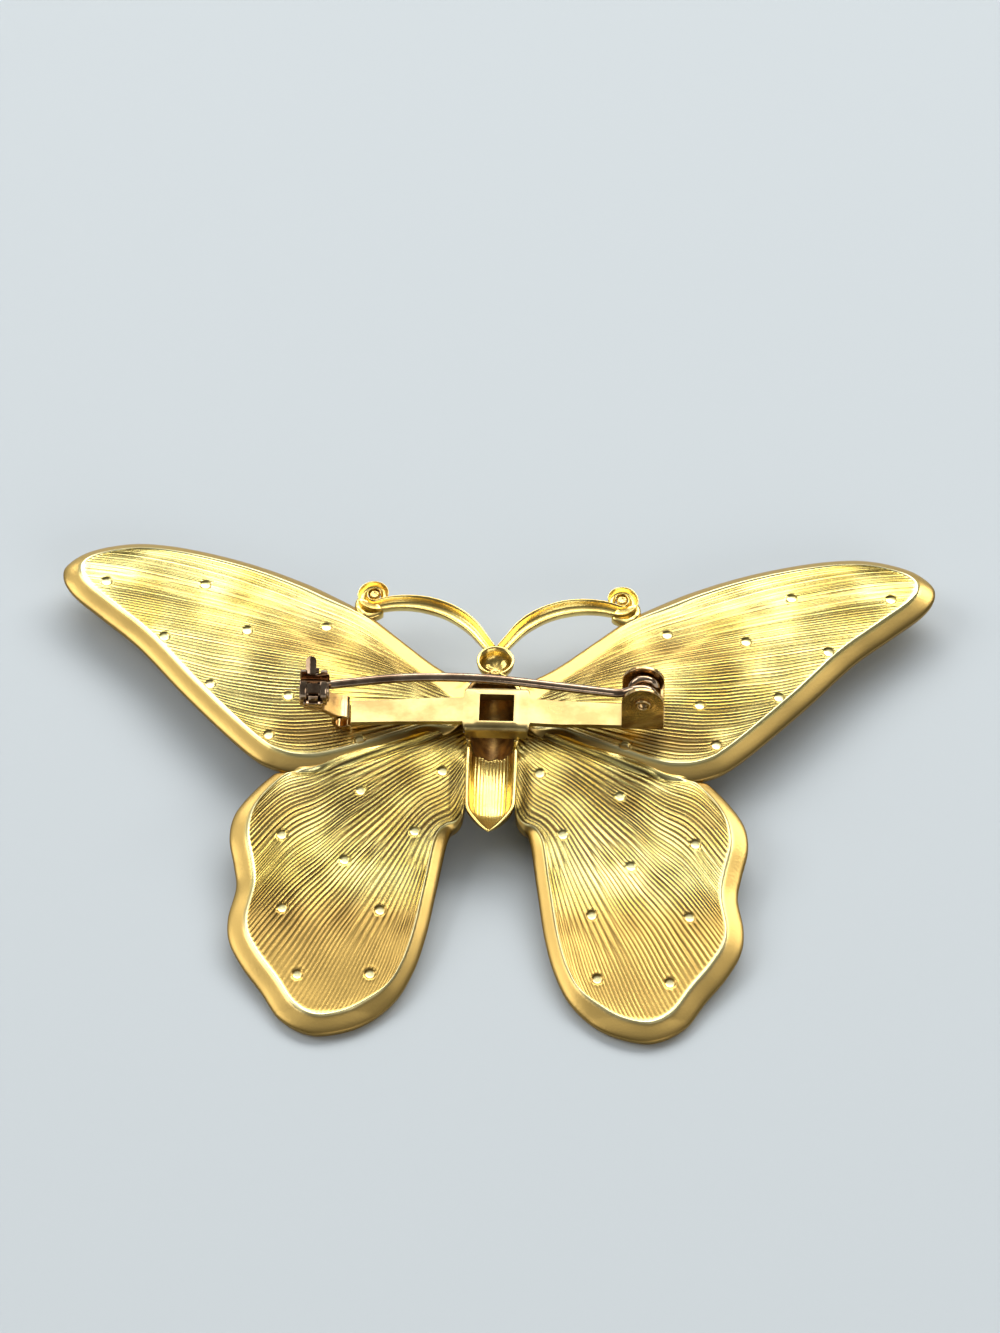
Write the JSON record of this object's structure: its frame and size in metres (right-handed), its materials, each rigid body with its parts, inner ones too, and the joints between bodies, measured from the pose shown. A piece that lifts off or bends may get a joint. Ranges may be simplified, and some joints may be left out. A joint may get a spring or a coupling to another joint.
{
  "type": "butterfly brooch",
  "caption": "Stamped metal butterfly brooch seen from its hollow back, with dimpled wings, scrolled antennae and a bar pin whose spring stem shuts in a turning safety catch.",
  "frame": {"origin": "on the surface, under the middle of the brooch's box", "axes": "+X along the wingspan toward the hinge of the pin, +Y toward the head, +Z out of the back, where the pin is"},
  "size_m": [0.076, 0.0528, 0.0112],
  "materials": {
    "gold_plate": "brushed gold plate",
    "finding_metal": "polished, darker gold tone",
    "stem_wire": "polished wire"
  },
  "bodies": {
    "brooch": {"butterfly": "gold_plate", "pin_bar": "finding_metal", "hinge_rivet": "finding_metal"},
    "pin": {"pin_stem": "stem_wire"},
    "catch": {"catch_rotor": "finding_metal"}
  },
  "joints": [
    {"name": "pin_swing", "type": "hinge", "parent": "brooch", "child": "pin", "pos_m": [0.013, 0.00595, 0.0091], "axis": [0, 1, 0], "range_deg": [0, 95]},
    {"name": "catch_turn", "type": "hinge", "parent": "brooch", "child": "catch", "pos_m": [-0.0158, 0.00595, 0.00865], "axis": [1, 0, 0], "range_deg": [0, 90]}
  ]
}
